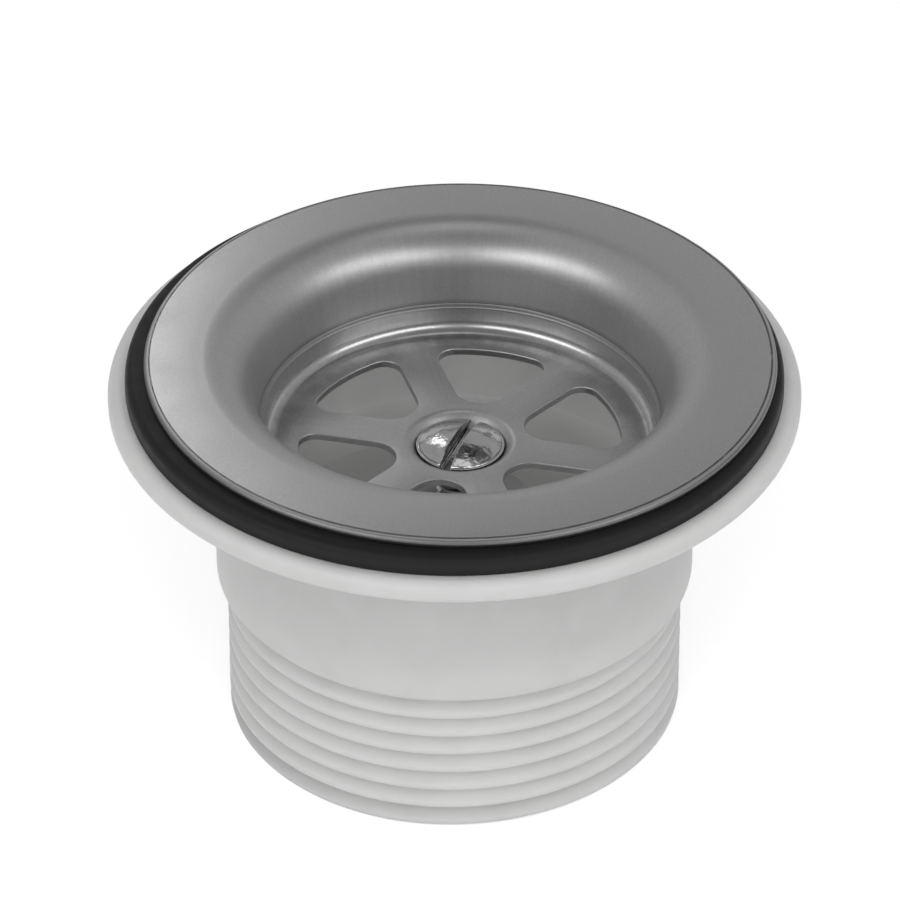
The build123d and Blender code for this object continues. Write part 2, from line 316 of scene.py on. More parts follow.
def satin_steel(colours, sizes):
    """Pressed stainless steel: a satin grain all over, and fine lines down the wall that was drawn."""
    made, tree, shader, place = material("pressed stainless steel")
    # Where each mark starts and ends, in millimetres above the tail's end or from the cup's axis.
    top, rim, reach = CUP_HIGH.z / MM, RIM_RADIUS / MM, sizes.reach / MM
    floor = top - sizes.depth / MM
    seat = floor + (sizes.seat_lift + sizes.seat_rise) / MM
    # The span of the rim's painted shade.
    rim_shade_span = (rim - 0.3, rim - 0.1)
    floor_corner = (reach - 1.3, reach + 1.2)
    # Up to this height the floor's corner takes painted shade and a little real oil.
    shade_and_oil_level = (floor + 0.05, floor + 0.35)
    pressed_level = (floor + 0.9, floor + 1.8)
    below_flange = (top - 0.2, top - 0.7)
    fold_shade_span = (0.1, 0.6)
    middle = add(tree, VECTOR, (place, (-CUP_AXIS / MM, 0.0, 0.0)), operation="ADD")
    x, y, height = add(tree, "ShaderNodeSeparateXYZ", (middle,)).outputs
    aside = add(tree, VECTOR, (middle, (1.0, 1.0, 0.0)), operation="MULTIPLY")
    out = add(tree, VECTOR, (aside,), operation="LENGTH").outputs["Value"]
    corner = add(tree, RANGE, (out, *floor_corner, 0.0, 1.0))
    # The satin grain is 0.25 mm, coarser than the real one so that it shows. Its gloss changes over 5 mm.
    grain = add(tree, NOISE, {"Vector": place, "Scale": 1 / 0.25, "Detail": 3.0})
    clouds = add(tree, NOISE, {"Vector": place, "Scale": 1 / 5.0, "Detail": 3.0})
    shade = add(tree, RANGE, (grain, *NOISE_SPAN, 0.94, 1.05))
    # The lines on the wall and the lip are 0.4 mm wide and 25 mm long, on a wall of some 22 mm radius.
    around = add(tree, MATH, (y, x), operation="ARCTAN2")
    arc = add(tree, MATH, (around, 22.0 / 0.4), operation="MULTIPLY")
    drop = add(tree, MATH, (height, 1 / 25.0), operation="MULTIPLY")
    lines_at = add(tree, "ShaderNodeCombineXYZ", (arc, drop))
    lines = add(tree, NOISE, {"Vector": lines_at, "Scale": 1.0, "Detail": 2.0})
    wall = add(tree, RANGE, (height, *below_flange, 0.0, 1.0))
    streak = add(tree, RANGE, (lines, *NARROW_SPAN, -0.03, 0.02))
    lined = add(tree, MATH, (wall, streak, 1.0), operation="MULTIPLY_ADD")
    # The rim's outer round is darkened: painted shade that stands in for the dark reflection the round
    # shows.
    edge = add(tree, RANGE, (out, *rim_shade_span, 1.0, 0.45))
    # Painted shade darkens the corner of the floor, in blots of some 2 mm; a little of it stands for real
    # specks of dried press oil.
    blots = add(tree, NOISE, {"Vector": place, "Scale": 1 / 2.0, "Detail": 4.0})
    low = add(tree, RANGE, (height, *shade_and_oil_level, 1.0, 0.0))
    corner_shade_and_oil = add(tree, MATH, (corner, low), operation="MULTIPLY")
    blot = add(tree, RANGE, (blots, *NARROW_SPAN, 0.35, 0.15))
    taken = add(tree, MATH, (corner_shade_and_oil, blot), operation="MULTIPLY")
    shade_and_oil_factor = add(tree, MATH, (1.0, taken), operation="SUBTRACT")
    # A thin line of painted shade lies along the fold above the plug's seat.
    above = add(tree, MATH, (height, seat), operation="SUBTRACT")
    off = add(tree, MATH, (above,), operation="ABSOLUTE")
    fold = add(tree, RANGE, (off, *fold_shade_span, 0.62, 1.0))
    # The grain, the painted shade at the rim, the painted shade and oil in the corner, the drawn lines and
    # the painted shade at the fold all scale the steel's colour.
    for mark in (edge, shade_and_oil_factor, lined, fold):
        shade = add(tree, MATH, (shade, mark), operation="MULTIPLY")
    tint = add(tree, VECTOR, {0: colours.satin_steel[:3], "Scale": shade}, operation="SCALE")
    # The punch has pressed the corner of the floor smoother than the rest.
    pressed = add(tree, RANGE, (height, *pressed_level, -0.14, 0.0))
    satin = add(tree, RANGE, (clouds, *NOISE_SPAN, 0.37, 0.41))
    rough = add(tree, MATH, (pressed, corner, satin), operation="MULTIPLY_ADD")
    grained = add(tree, BUMP, {"Height": grain, "Strength": 0.06, "Distance": 0.05 * MM})
    drawn = add(tree, BUMP, {"Height": lines, "Strength": 0.08, "Distance": 0.05 * MM, "Normal": grained})
    connect(tree, shader, {"Metallic": 1.0, "Base Color": tint, "Roughness": rough, "Normal": drawn})
    return made


def bright_steel(colours):
    """Polished stainless steel: nearly a mirror, with faint smears from the tumbling drum."""
    made, tree, shader, place = material("polished stainless steel")
    # Smears of 1.2 mm.
    smears = add(tree, NOISE, {"Vector": place, "Scale": 1 / 1.2, "Detail": 2.0})
    shade = add(tree, RANGE, (smears, *NOISE_SPAN, 0.9, 1.05))
    tint = add(tree, VECTOR, {0: colours.bright_steel[:3], "Scale": shade}, operation="SCALE")
    rough = add(tree, RANGE, (smears, *NOISE_SPAN, 0.06, 0.16))
    bump = add(tree, BUMP, {"Height": smears, "Strength": 0.5, "Distance": 0.15 * MM})
    connect(tree, shader, {"Metallic": 1.0, "Base Color": tint, "Roughness": rough, "Normal": bump})
    return made


def plain_brass(colours):
    """Cut brass: yellow, a little dull, with the fine lines of the saw."""
    made, tree, shader, place = material("cut brass")
    # Saw lines 0.3 mm wide and 6 mm long.
    stretched = add(tree, VECTOR, (place, (1 / 0.3, 1 / 6.0, 1 / 6.0)), operation="MULTIPLY")
    lines = add(tree, NOISE, {"Vector": stretched, "Scale": 1.0, "Detail": 2.0})
    shade = add(tree, RANGE, (lines, *NOISE_SPAN, 0.85, 1.05))
    tint = add(tree, VECTOR, {0: colours.brass[:3], "Scale": shade}, operation="SCALE")
    bump = add(tree, BUMP, {"Height": lines, "Strength": 0.1, "Distance": 0.1 * MM})
    connect(tree, shader, {"Metallic": 1.0, "Base Color": tint, "Roughness": 0.32, "Normal": bump})
    return made


def rounded(corners, closed=True):
    """Points of an outline through corners of (x, y, round), with an arc at each round.

    A point on each side of an arc holds the flats.
    """
    points = []
    count = len(corners)
    for i, (x, y, round_) in enumerate(corners):
        here = Vector((x, y))
        if round_ == 0 or (not closed and i in (0, count - 1)):
            points.append(here)
            continue
        before = (Vector(corners[i - 1][:2]) - here).normalized()
        after = (Vector(corners[(i + 1) % count][:2]) - here).normalized()
        half = before.angle(after) / 2
        reach = round_ / math.tan(half)
        centre = here + (before + after).normalized() * (round_ / math.sin(half))
        start = here + before * reach - centre
        sweep = math.pi - 2 * half
        side = 1 if before.x * after.y - before.y * after.x < 0 else -1
        steps = max(2, math.ceil(math.degrees(sweep) / ARC_STEP))
        points.append(here + before * (reach + HOLD))
        for step in range(steps + 1):
            angle = side * sweep * step / steps
            c, s = math.cos(angle), math.sin(angle)
            points.append(centre + Vector((c * start.x - s * start.y, s * start.x + c * start.y)))
        points.append(here + after * (reach + HOLD))
    return [(p.x, p.y) for p in points]


def shifted(corners, distance):
    """The corners of a line moved to its left, with rounds that keep the two lines evenly apart."""
    moved = []
    last = len(corners) - 1
    for i, (x, y, round_) in enumerate(corners):
        here = Vector((x, y))
        before = here - Vector(corners[i - 1][:2]) if i > 0 else None
        after = Vector(corners[i + 1][:2]) - here if i < last else None
        runs = [run.normalized() for run in (before, after) if run is not None]
        across = [Vector((-run.y, run.x)) for run in runs]
        mean = (across[0] + across[-1]) / 2
        place = here + mean * (distance / mean.length_squared)
        turn = runs[0].x * runs[-1].y - runs[0].y * runs[-1].x
        if 0 < i < last:
            round_ += distance if turn < 0 else -distance
        else:
            round_ = 0
        moved.append((place.x, place.y, max(round_, SMALL_ROUND if i < last else 0)))
    return moved


def beside(points, distance):
    """The points of a line moved sideways, to the left of its run."""
    run = np.gradient(np.array(points), axis=0)
    run /= np.linalg.norm(run, axis=1)[:, None]
    return [tuple(p) for p in np.array(points) + distance * np.stack([-run[:, 1], run[:, 0]], axis=1)]


def turned(rows, segments, axis=0.0, first=-math.pi, closed=True, threaded=()):
    """A mesh turned about the vertical through x = axis, from rows of (radius, height).

    A radius may be a list with one value a column. The first and the last column lie on each other until
    they are welded. Each vertex keeps its angle, and whether its row is threaded, for the thread's tree.
    """
    angles = first + np.linspace(0, 2 * math.pi, segments + 1)
    radii = np.array([np.broadcast_to(r, angles.shape) for r, _ in rows])
    heights = np.array([np.broadcast_to(z, angles.shape) for _, z in rows])
    points = np.stack([axis + radii * np.cos(angles), radii * np.sin(angles), heights], axis=-1)
    count, columns = radii.shape
    faces = []
    for row in range(count if closed else count - 1):
        here, there = row * columns, (row + 1) % count * columns
        faces += [(here + j, here + j + 1, there + j + 1, there + j) for j in range(segments)]
    mesh = bpy.data.meshes.new("turned")
    mesh.from_pydata(points.reshape(-1, 3).tolist(), [], faces)
    around = mesh.attributes.new("around", "FLOAT", "POINT")
    around.data.foreach_set("value", np.tile(angles, count).astype(np.float32))
    flags = np.zeros((count, columns), np.float32)
    for row in threaded:
        flags[row] = 1
    thread = mesh.attributes.new("threaded", "FLOAT", "POINT")
    thread.data.foreach_set("value", flags.ravel())
    return mesh


def thread_rows(radius, bottom, top, pitch, rows_a_pitch):
    """Rows for a thread, from half a pitch below it to half a pitch above, so many to each pitch."""
    step = pitch / rows_a_pitch
    count = math.ceil((top - bottom + pitch) / step)
    return [(radius, bottom - pitch / 2 + step * i) for i in range(count + 1)]


def joined(name, meshes):
    """One welded mesh of several, with its normals turned outwards."""
    bm = bmesh.new()
    for mesh in meshes:
        bm.from_mesh(mesh)
    bmesh.ops.remove_doubles(bm, verts=bm.verts, dist=WELD)
    bmesh.ops.dissolve_degenerate(bm, edges=bm.edges, dist=WELD)
    bmesh.ops.recalc_face_normals(bm, faces=bm.faces)
    made = bpy.data.meshes.new(name)
    bm.to_mesh(made)
    bm.free()
    for attribute in ("around", "threaded"):
        if attribute in made.attributes:
            made.attributes.remove(made.attributes[attribute])
    return made


def shown(name, mesh):
    """An object of that name for a mesh, in the scene, at the origin."""
    made = bpy.data.objects.new(name, mesh)
    bpy.context.scene.collection.objects.link(made)
    return made


def worked(mesh, tree, values):
    """The plain mesh that a node tree makes of a mesh, with its inputs set by name."""
    piece = shown("blank", mesh)
    modifier = piece.modifiers.new("tree", "NODES")
    modifier.node_group = tree
    for item in tree.interface.items_tree:
        if item.name in values:
            modifier[item.identifier] = values[item.name]
    graph = bpy.context.evaluated_depsgraph_get()
    made = bpy.data.meshes.new_from_object(piece.evaluated_get(graph))
    bpy.data.objects.remove(piece)
    return made


def tool_cut(mesh, tool, edge, sharp=40.0):
    """The plain mesh of one mesh with another cut out of it, and with its sharp edges rounded."""
    piece, other = shown("blank", mesh), shown("tool", tool)
    modifier = piece.modifiers.new("cut", "BOOLEAN")
    modifier.object = other
    modifier.operation = "DIFFERENCE"
    modifier.solver = "MANIFOLD"
    modifier = piece.modifiers.new("edges", "BEVEL")
    modifier.width = edge
    modifier.segments = 2
    modifier.limit_method = "ANGLE"
    modifier.angle_limit = math.radians(sharp)
    graph = bpy.context.evaluated_depsgraph_get()
    made = bpy.data.meshes.new_from_object(piece.evaluated_get(graph))
    bpy.data.objects.remove(piece)
    bpy.data.objects.remove(other)
    return made


def dressed(name, mesh, finish, body, node, sharp=35.0):
    """A finished piece: smooth with sharp corners, on its body and in place of its solid."""
    if len(mesh.polygons) == 0:
        raise RuntimeError(f"{name} has no faces")
    mesh.name = name
    mesh.materials.clear()
    mesh.materials.append(finish)
    mesh.shade_smooth()
    mesh.set_sharp_from_angle(angle=math.radians(sharp))
    piece = shown(name, mesh)
    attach(piece, body)
    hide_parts(node)
    return piece


def new_tree(name, inputs):
    """A geometry tree with a geometry input, the named inputs, and a geometry output."""
    tree = bpy.data.node_groups.new(name, "GeometryNodeTree")
    tree.interface.new_socket("Geometry", in_out="INPUT", socket_type="NodeSocketGeometry")
    for title, kind in inputs.items():
        tree.interface.new_socket(title, in_out="INPUT", socket_type=kind)
    tree.interface.new_socket("Geometry", in_out="OUTPUT", socket_type="NodeSocketGeometry")
    return tree, tree.nodes.new("NodeGroupInput").outputs, tree.nodes.new("NodeGroupOutput")


def helical_thread():
    """A tree that cuts a thread into the threaded rows of a turned blank.

    Each row climbs one pitch a turn and stops at the thread's two ends. Its radius follows the height above
    the crest's helix: a crest, a flank, a root and a flank, softened at the corners.
    """
    sizes = ("Radius", "Pitch", "Depth", "Crest", "Flank", "Bottom", "Top", "Bevel", "Turn", "Axis")
    inputs = {**dict.fromkeys(sizes, "NodeSocketFloat"), "Material": "NodeSocketMaterial"}
    tree, given, result = new_tree("helical thread", inputs)
    around = add(tree, "GeometryNodeInputNamedAttribute", {"Name": "around"}, data_type="FLOAT")
    threaded = add(tree, "GeometryNodeInputNamedAttribute", {"Name": "threaded"}, data_type="FLOAT")
    place = add(tree, "ShaderNodeSeparateXYZ", (add(tree, "GeometryNodeInputPosition"),))
    turns = add(tree, MATH, (around, 2 * math.pi), operation="DIVIDE")
    climb = add(tree, MATH, (turns, given["Pitch"], place.outputs["Z"]), operation="MULTIPLY_ADD")
    height = add(tree, "ShaderNodeClamp", {"Value": climb, "Min": given["Bottom"], "Max": given["Top"]})
    rise = add(tree, MATH, (height, given["Bottom"]), operation="SUBTRACT")
    pitches = add(tree, MATH, (rise, given["Pitch"]), operation="DIVIDE")
    start = add(tree, MATH, (given["Turn"], 2 * math.pi), operation="DIVIDE")
    above = add(tree, MATH, (pitches, turns), operation="SUBTRACT")
    crest = add(tree, MATH, (above, start), operation="ADD")
    # Ping-pong gives the distance from the nearest crest, in pitches.
    share = add(tree, MATH, (crest, 0.5), operation="PINGPONG")
    off = add(tree, MATH, (share, given["Pitch"]), operation="MULTIPLY")
    half = add(tree, MATH, (given["Crest"], 2.0), operation="DIVIDE")
    foot = add(tree, MATH, (half, given["Flank"]), operation="ADD")
    # The softened flank spreads by a tenth at each end, so that its middle keeps the flank's slope.
    soft = add(tree, MATH, (given["Flank"], 0.1), operation="MULTIPLY")
    near = add(tree, MATH, (half, soft), operation="SUBTRACT")
    far = add(tree, MATH, (foot, soft), operation="ADD")
    drop = add(tree, RANGE, (off, near, far, 0.0, given["Depth"]), interpolation_type="SMOOTHSTEP")
    cut = add(tree, MATH, (given["Radius"], drop), operation="SUBTRACT")
    plain = add(tree, MATH, (given["Radius"], given["Bevel"]), operation="SUBTRACT")
    cone = add(tree, MATH, (plain, rise), operation="ADD")
    radius = add(tree, MATH, (cut, cone), operation="MINIMUM")
    cosine = add(tree, MATH, (around,), operation="COSINE")
    sine = add(tree, MATH, (around,), operation="SINE")
    x = add(tree, MATH, (cosine, radius, given["Axis"]), operation="MULTIPLY_ADD")
    y = add(tree, MATH, (sine, radius), operation="MULTIPLY")
    target = add(tree, "ShaderNodeCombineXYZ", (x, y, height))
    chosen = add(tree, "FunctionNodeCompare", (threaded, 0.5), data_type="FLOAT", operation="GREATER_THAN")
    moves = {"Geometry": given["Geometry"], "Selection": chosen, "Position": target}
    moved = add(tree, "GeometryNodeSetPosition", moves)
    welded = add(tree, "GeometryNodeMergeByDistance", {"Geometry": moved, "Distance": WELD})
    plain_mesh = add(tree, "GeometryNodeRealizeInstances", {"Geometry": welded})
    look = {"Geometry": plain_mesh, "Material": given["Material"]}
    connect(tree, result, (add(tree, "GeometryNodeSetMaterial", look),))
    return tree


def ring_of_copies():
    """A tree that repeats a piece about a vertical axis, at even angles."""
    inputs = {
        "Count": "NodeSocketInt",
        "First": "NodeSocketFloat",
        "Axis": "NodeSocketFloat",
        "Material": "NodeSocketMaterial",
    }
    tree, given, result = new_tree("ring of copies", inputs)
    points = add(tree, "GeometryNodePoints", {"Count": given["Count"]})
    number = add(tree, "GeometryNodeInputIndex")
    step = add(tree, MATH, (2 * math.pi, given["Count"]), operation="DIVIDE")
    angle = add(tree, MATH, (number, step, given["First"]), operation="MULTIPLY_ADD")
    turn = add(tree, "ShaderNodeCombineXYZ", {"Z": angle})
    places = {"Points": points, "Instance": given["Geometry"], "Rotation": turn}
    copies = add(tree, "GeometryNodeInstanceOnPoints", places)
    plain_mesh = add(tree, "GeometryNodeRealizeInstances", {"Geometry": copies})
    aside = add(tree, "ShaderNodeCombineXYZ", {"X": given["Axis"]})
    moved = add(tree, "GeometryNodeTransform", {"Geometry": plain_mesh, "Translation": aside})
    welded = add(tree, "GeometryNodeMergeByDistance", {"Geometry": moved, "Distance": WELD})
    look = {"Geometry": welded, "Material": given["Material"]}
    connect(tree, result, (add(tree, "GeometryNodeSetMaterial", look),))
    return tree


def rounded_box(low, high, edge):
    """A closed box with rounded edges."""
    bm = bmesh.new()
    bmesh.ops.create_cube(bm, size=1.0)
    middle, extent = (Vector(low) + Vector(high)) / 2, Vector(high) - Vector(low)
    for vertex in bm.verts:
        vertex.co = middle + Vector(a * b for a, b in zip(vertex.co, extent))
    bmesh.ops.bevel(bm, geom=bm.edges[:], offset=edge, segments=3, profile=0.5, affect="EDGES")
    made = bpy.data.meshes.new("box")
    bm.to_mesh(made)
    bm.free()
    return made


def direction(azimuth, elevation):
    """The unit vector at an azimuth and an elevation, both in degrees."""
    a, e = math.radians(azimuth), math.radians(elevation)
    return Vector((math.cos(a) * math.cos(e), math.sin(a) * math.cos(e), math.sin(e)))


class DRAIN_OT_tail(bpy.types.Operator):
    """Builds the white moulding: flange, barrel, threaded tail and the spider inside"""

    bl_idname = "drain.tail"
    bl_label = "White tail"

    segments = 240
    rows_a_pitch = 20
    boss_segments = 64

    def execute(self, context):
        sizes, colours = context.scene.tail_sizes, context.scene.drain_colours
        finish = white_polypropylene(colours)
        crest, top = THREAD["r_mm"] * MM, THREAD["length_mm"] * MM
        bore = crest - sizes.depth - sizes.wall
        barrel = crest + sizes.barrel_step
        wide = barrel - sizes.barrel_wall
        flange, seat = TAIL_HIGH.x, TAIL_HIGH.z
        under = seat - sizes.flange
        shoulder = top + sizes.shoulder_rise
        outside = rounded(
            [
                (crest, top, 0),
                (barrel, top, sizes.edge_round),
                (barrel, under, sizes.flange_fillet),
                (flange, under, sizes.flange_round),
                (flange, seat, sizes.flange_round),
                (wide + sizes.mouth_bevel, seat, sizes.edge_round),
                (wide, seat - sizes.mouth_bevel, sizes.edge_round),
                (wide, shoulder + wide - bore, sizes.edge_round),
                (bore, shoulder, sizes.edge_round),
                (bore, 0, sizes.edge_round),
                (crest - sizes.end_bevel, 0, 0),
            ],
            closed=False,
        )
        thread = thread_rows(crest, 0.0, top, sizes.pitch, self.rows_a_pitch)
        plain = outside[1:-1]
        threaded = range(len(plain), len(plain) + len(thread))
        values = {
            "Radius": crest,
            "Pitch": sizes.pitch,
            "Depth": sizes.depth,
            "Crest": sizes.crest,
            "Flank": sizes.flank,
            "Bottom": 0.0,
            "Top": top,
            "Bevel": sizes.end_bevel,
            "Turn": sizes.turn,
            "Axis": 0.0,
            "Material": finish,
        }
        tail = worked(turned(plain + thread, self.segments, threaded=threaded), helical_thread(), values)
        hole = context.scene.screw_sizes.diameter / 2 + sizes.nut_float
        mesh = joined("tail", [tail, *self.spider(sizes, bore, shoulder, hole, finish)])
        dressed("tail_moulding", mesh, finish, "tail", "tail_body")
        return {"FINISHED"}

    def spider(self, sizes, bore, shoulder, hole, finish):
        """The boss with its square pocket and the screw's hole, and the ribs that carry it."""
        foot = shoulder - sizes.rib_height
        head = foot + sizes.boss_height
        roof = head - sizes.boss_roof
        half = NUT_HIGH.y + sizes.nut_float
        boss = half * math.sqrt(2) + sizes.boss_wall
        angles = -math.pi + np.linspace(0, 2 * math.pi, self.boss_segments + 1)
        square = half / np.maximum(np.abs(np.cos(angles)), np.abs(np.sin(angles)))
        edge = sizes.edge_round
        corners = [(boss, foot, edge), (boss, head, edge), (hole, head, edge), (hole, roof, 0)]
        rows = rounded(corners, closed=False) + [(square, roof), (square, foot)]
        ring = turned(rows, self.boss_segments)
        # A rib starts inside the boss and ends inside the tail's wall.
        low = (boss - edge, -sizes.rib / 2, foot)
        high = (bore + sizes.rib_root, sizes.rib / 2, shoulder)
        values = {"Count": sizes.ribs, "First": 0.0, "Axis": 0.0, "Material": finish}
        ribs = worked(rounded_box(low, high, edge), ring_of_copies(), values)
        return ring, ribs


class DRAIN_OT_gasket(bpy.types.Operator):
    """Builds the black rubber ring between the flanges"""

    bl_idname = "drain.gasket"
    bl_label = "Gasket"

    segments = 240

    def execute(self, context):
        sizes = context.scene.gasket_sizes
        finish = black_rubber(context.scene.drain_colours)
        outline = rounded(
            [
                (sizes.bore, GASKET_LOW.z, sizes.bore_round),
                (GASKET_HIGH.x, GASKET_LOW.z, sizes.foot_round),
                (GASKET_HIGH.x, GASKET_HIGH.z, sizes.top_round),
                (sizes.bore, GASKET_HIGH.z, sizes.bore_round),
            ]
        )
        mesh = joined("gasket", [turned(outline, self.segments)])
        mesh.transform(Matrix.Translation((0.0, (GASKET_LOW.y + GASKET_HIGH.y) / 2, 0.0)))
        dressed("gasket_ring", mesh, finish, "tail", "gasket")
        return {"FINISHED"}


class DRAIN_OT_cup(bpy.types.Operator):
    """Builds the steel pressing: flange, lip, wall, plug seat, and the floor with its petals"""

    bl_idname = "drain.cup"
    bl_label = "Strainer cup"

    sector_columns = 44
    tip_steps, corner_steps, reach_steps = 16, 12, 24
    pierced_steps = 4

    def execute(self, context):
        sizes = context.scene.cup_sizes
        finish = satin_steel(context.scene.drain_colours, sizes)
        self.sizes = sizes
        self.top = CUP_HIGH.z
        self.floor = self.top - sizes.depth
        # The flange's sharp corner lies a little past the rim, because the rim's round takes that off.
        lean = sizes.crown_angle
        self.corner = RIM_RADIUS + sizes.rim * (math.cos(lean) + math.sin(lean) - 1)
        self.wall = self.corner - sizes.crown - sizes.lip
        foot = self.wall - sizes.taper - sizes.seat_width - sizes.foot
        dimple = HEAD_RADIUS + sizes.dimple_margin
        # The floor is flat between these two radii, and the sectors with the petals fill it.
        flat_out = foot - sizes.floor_round - 2 * HOLD
        flat_in = dimple + sizes.dimple_round * math.tan(HALF_FALL) + 2 * HOLD
        columns = self.sector_columns * sizes.petals
        first = sizes.turn - math.pi / sizes.petals
        upper = self.above(flat_out)
        outline = rounded(upper[::-1] + shifted(upper, sizes.sheet), closed=False)
        wall = turned(outline, columns, CUP_AXIS, first, closed=False)
        corners = [
            (flat_in, self.floor, 0),
            (dimple, self.floor, sizes.dimple_round),
            (sizes.hole, self.floor - dimple + sizes.hole, 0),
        ]
        cone = rounded(corners, closed=False)
        cone_under = beside(cone, sizes.sheet)
        cone_under[0] = (flat_in, self.floor - sizes.sheet)
        bowl = turned(cone + cone_under[::-1], columns, CUP_AXIS, first, closed=False)
        values = {"Count": sizes.petals, "First": sizes.turn, "Axis": CUP_AXIS, "Material": finish}
        sectors = worked(self.sector(flat_in, flat_out), ring_of_copies(), values)
        mesh = joined("cup", [wall, bowl, sectors])
        dressed("strainer_pressing", mesh, finish, "cup", "strainer_cup")
        return {"FINISHED"}

    def above(self, flat_out):
        """Corners of the upper face, from the rim over the crown, down the wall and on to the floor."""
        sizes = self.sizes
        half = sizes.crown / 2
        seat = self.wall - sizes.taper
        seat_in = seat - sizes.seat_width
        return [
            (self.corner, self.top - half * math.tan(sizes.crown_angle), sizes.rim),
            (self.corner - half, self.top, sizes.crown_radius),
            (self.wall, self.top, sizes.lip),
            (seat, self.floor + sizes.seat_lift + sizes.seat_rise, sizes.seat_fold),
            (seat_in, self.floor + sizes.seat_lift, sizes.seat_fold),
            (seat_in - sizes.foot, self.floor, sizes.floor_round),
            (flat_out, self.floor, 0),
        ]

    def petal(self, spread):
        """A petal's outline about its own middle line, moved outwards by spread: arcs and straight sides."""
        sizes = self.sizes
        half = math.pi / sizes.petals
        apex = sizes.web / 2 / math.sin(half)
        tip = apex + sizes.tip / math.sin(half)
        start = apex + sizes.corner / math.sin(half)
        inside = sizes.reach - sizes.corner
        along = math.sqrt(inside**2 - (start * math.sin(half)) ** 2) - start * math.cos(half)
        corner = (start + along * math.cos(half), along * math.sin(half))
        lean = math.atan2(corner[1], corner[0])
        side = math.pi / 2 + half
        # Each arc has a centre, a radius, its first and last angle, and its steps.
        arcs = (
            (tip, 0.0, sizes.tip, 2 * math.pi - side, side, self.tip_steps),
            (*corner, sizes.corner, side, lean, self.corner_steps),
            (0.0, 0.0, sizes.reach, lean, -lean, self.reach_steps),
            (corner[0], -corner[1], sizes.corner, -lean, -side, self.corner_steps),
        )
        points = []
        for x, y, radius, begin, end, steps in arcs:
            wide = radius + spread
            for step in range(steps + 1):
                angle = begin + (end - begin) * step / steps
                points.append((x + wide * math.cos(angle), y + wide * math.sin(angle)))
        return [p for i, p in enumerate(points) if math.dist(p, points[i - 1]) > WELD]

    def sector(self, flat_in, flat_out):
        """One share of the floor with one petal opening, its upper edge rounded by the piercing."""
        sizes, columns, steps = self.sizes, self.sector_columns, self.pierced_steps
        half = math.pi / sizes.petals
        bm = bmesh.new()
        angles = [-half + 2 * half * i / columns for i in range(columns + 1)]
        border = [(flat_out * math.cos(a), flat_out * math.sin(a)) for a in angles]
        border += [(flat_in * math.cos(a), flat_in * math.sin(a)) for a in reversed(angles)]
        arc = [math.pi / 2 * i / steps for i in range(steps + 1)]
        rings = [(sizes.pierced * (1 - math.sin(a)), -sizes.pierced * (1 - math.cos(a))) for a in arc]
        rings += [(0.0, sizes.broken - sizes.sheet), (sizes.broken, -sizes.sheet)]
        loops = []
        for spread, z in rings:
            loops.append([bm.verts.new((x, y, self.floor + z)) for x, y in self.petal(spread)])
        for one, other in zip(loops, loops[1:]):
            for i in range(len(one)):
                bm.faces.new((one[i - 1], one[i], other[i], other[i - 1]))
        for loop, z in ((loops[0], 0.0), (loops[-1], -sizes.sheet)):
            outer = [bm.verts.new((x, y, self.floor + z)) for x, y in border]
            edges = [bm.edges.new((outer[i - 1], outer[i])) for i in range(len(outer))]
            edges += [bm.edges.get((loop[i - 1], loop[i])) for i in range(len(loop))]
            bmesh.ops.triangle_fill(bm, edges=edges, use_beauty=True, use_dissolve=False)
        made = bpy.data.meshes.new("sector")
        bm.to_mesh(made)
        bm.free()
        return made


